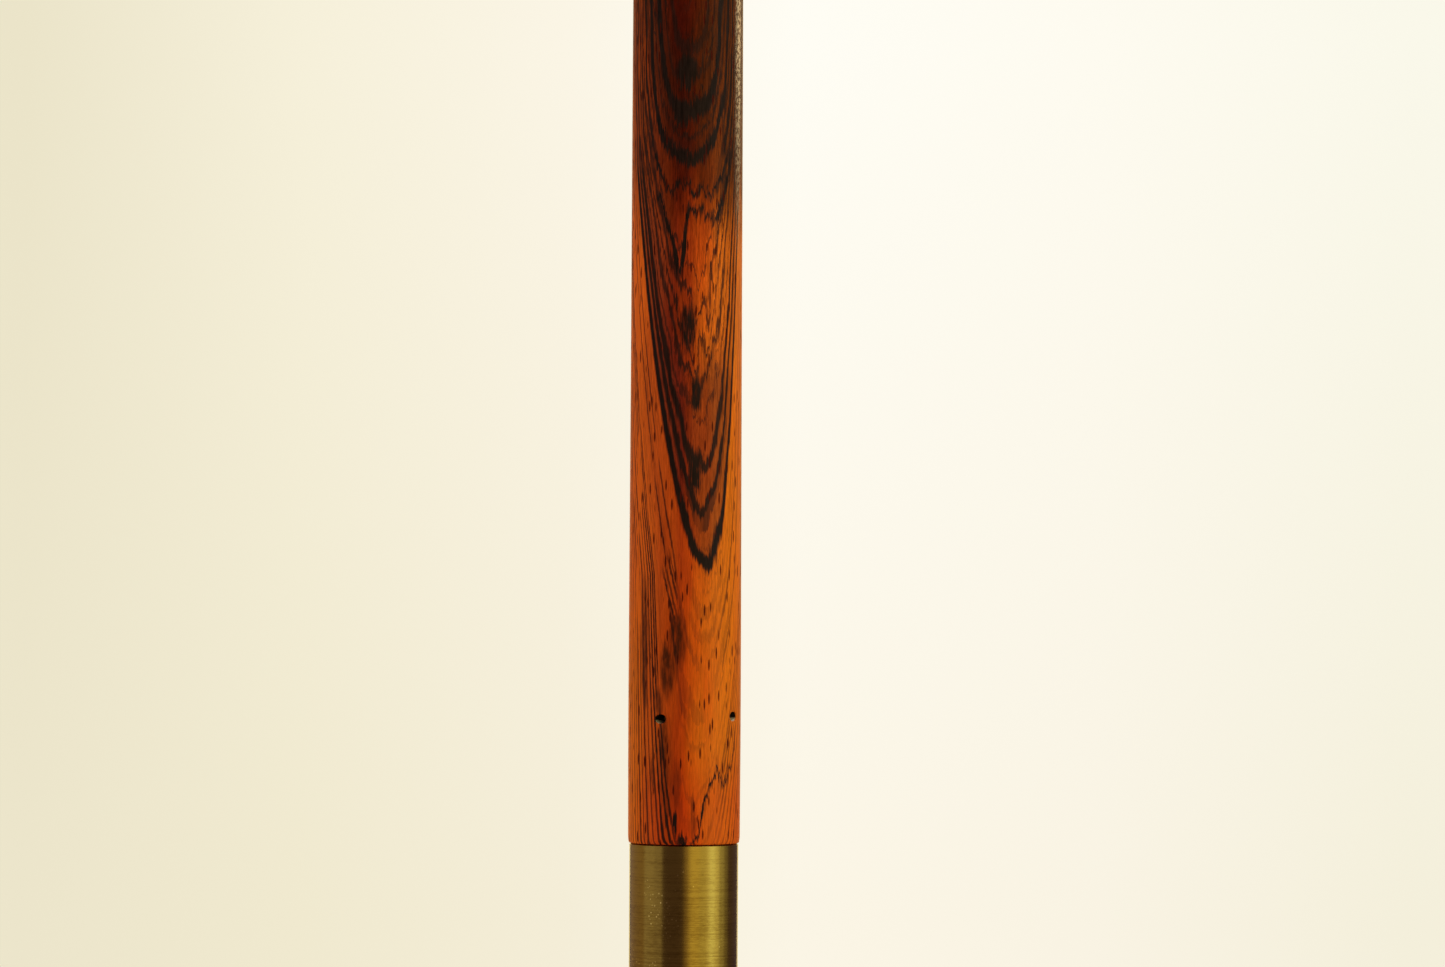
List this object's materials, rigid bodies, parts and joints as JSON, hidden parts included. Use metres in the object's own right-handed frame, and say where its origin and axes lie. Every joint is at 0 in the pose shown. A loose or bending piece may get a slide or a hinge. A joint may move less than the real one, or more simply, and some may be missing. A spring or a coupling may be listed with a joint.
{
  "type": "dip pen holder",
  "caption": "Turned rosewood pen holder with a straight brushed brass ferrule, a spring clutch that grips a pointed steel nib, and a domed brass end cap.",
  "frame": {"origin": "on the pen's axis, in the plane where the wooden barrel meets the brass ferrule", "axes": "+Z along the pen from the nib towards the tail, -Y through the nib's convex side, +X to the right of a viewer who faces that side"},
  "size_m": [0.0096, 0.0096, 0.1893],
  "materials": {
    "rosewood": "oiled and polished to a low sheen",
    "brass": "turned, fine brushing round the axis, slightly tarnished",
    "tinned_steel": "bright drawn sheet",
    "nib_steel": "polished, slightly dulled"
  },
  "bodies": {
    "holder": {"barrel": "rosewood", "ferrule_tube": "brass", "ferrule_core": "brass", "ferrule_pin_1": "brass", "ferrule_pin_2": "brass", "ferrule_pin_3": "brass", "ferrule_pin_4": "brass", "end_cap": "brass", "end_cap_stud": "brass"},
    "clutch": {"clutch_sleeve": "tinned_steel", "clutch_petals": "tinned_steel"},
    "nib": {"nib": "nib_steel"}
  },
  "joints": [
    {"name": "clutch_slide", "type": "slide", "parent": "holder", "child": "clutch", "axis": [0, 0, -1], "range_m": [0, 0.014]},
    {"name": "nib_slide", "type": "slide", "parent": "clutch", "child": "nib", "axis": [0, 0, -1], "range_m": [0, 0.013]}
  ]
}
